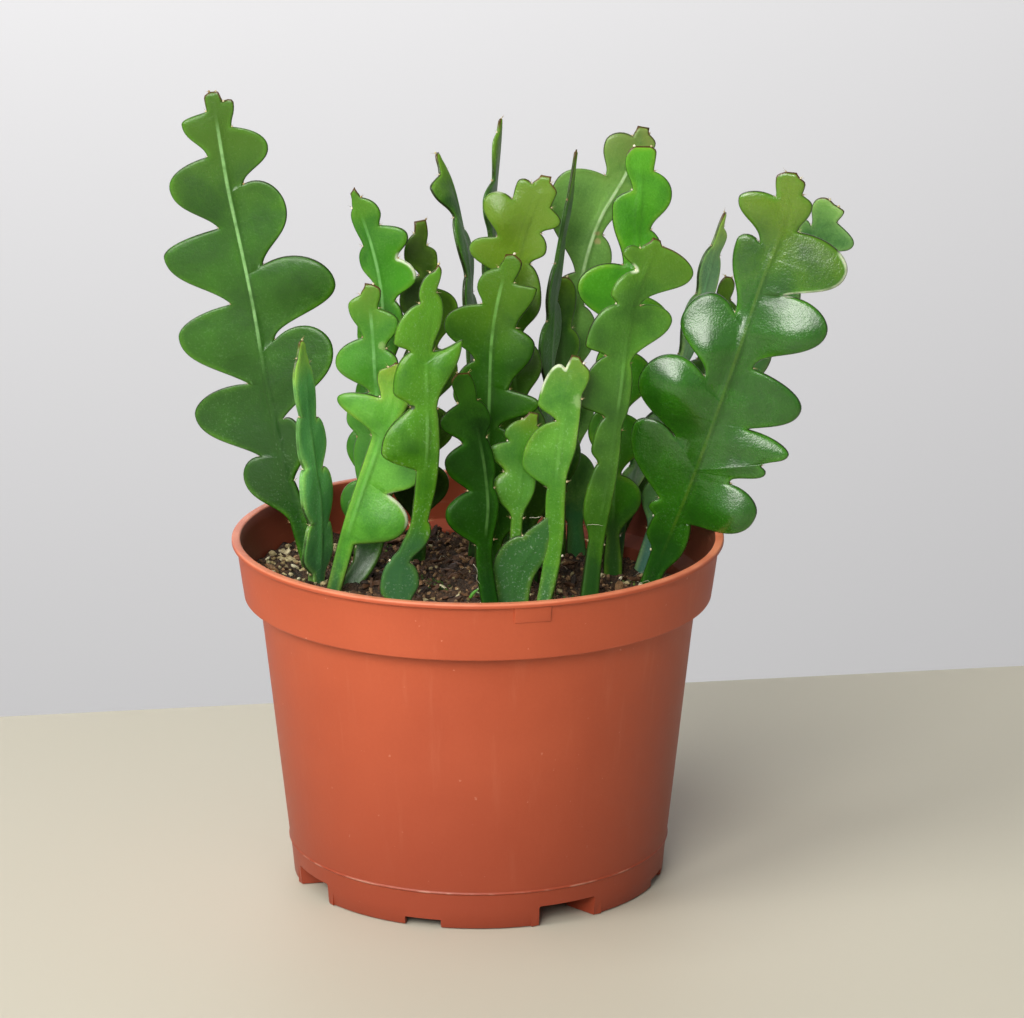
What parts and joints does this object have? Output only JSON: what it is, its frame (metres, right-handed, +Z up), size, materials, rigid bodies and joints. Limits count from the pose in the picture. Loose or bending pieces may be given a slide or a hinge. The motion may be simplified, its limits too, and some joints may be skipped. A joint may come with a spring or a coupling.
{
  "type": "potted fishbone cactus",
  "caption": "Fishbone (zigzag) cactus with upright flat lobed stems standing in potting mix in a round tapered plastic nursery pot.",
  "frame": {"origin": "centre of the object's bounding box on the surface that the pot stands on; the pot's own axis lies at x = -10.5 mm", "axes": "+Z up, -Y towards the side seen from the front, +X to the right as seen from there"},
  "size_m": [0.2317, 0.165, 0.2653],
  "materials": {
    "terracotta_plastic": "satin moulded plastic, terracotta coloured",
    "potting_mix": "rough, crumbly, dark brown with cream chips",
    "cactus_stem": "waxy green skin, glossy in places"
  },
  "bodies": {
    "root": {"pot": "terracotta_plastic", "soil": "potting_mix", "stem_far_left": "cactus_stem", "stem_left_edge": "cactus_stem", "stem_front_left": "cactus_stem", "stem_front_bright": "cactus_stem", "stem_left_middle": "cactus_stem", "stem_left_back": "cactus_stem", "stem_left_olive": "cactus_stem", "stem_back_left_thin": "cactus_stem", "stem_centre_tall": "cactus_stem", "stem_centre_yellow": "cactus_stem", "stem_back_centre_thin": "cactus_stem", "stem_back_right_thin": "cactus_stem", "stem_back_short": "cactus_stem", "stem_back_dark": "cactus_stem", "stem_right_bright": "cactus_stem", "stem_right_front": "cactus_stem", "stem_front_centre": "cactus_stem", "stem_front_pale": "cactus_stem", "stem_right_glossy": "cactus_stem", "stem_right_behind": "cactus_stem", "stem_right_thin": "cactus_stem", "stem_right_dark": "cactus_stem"}
  },
  "joints": []
}
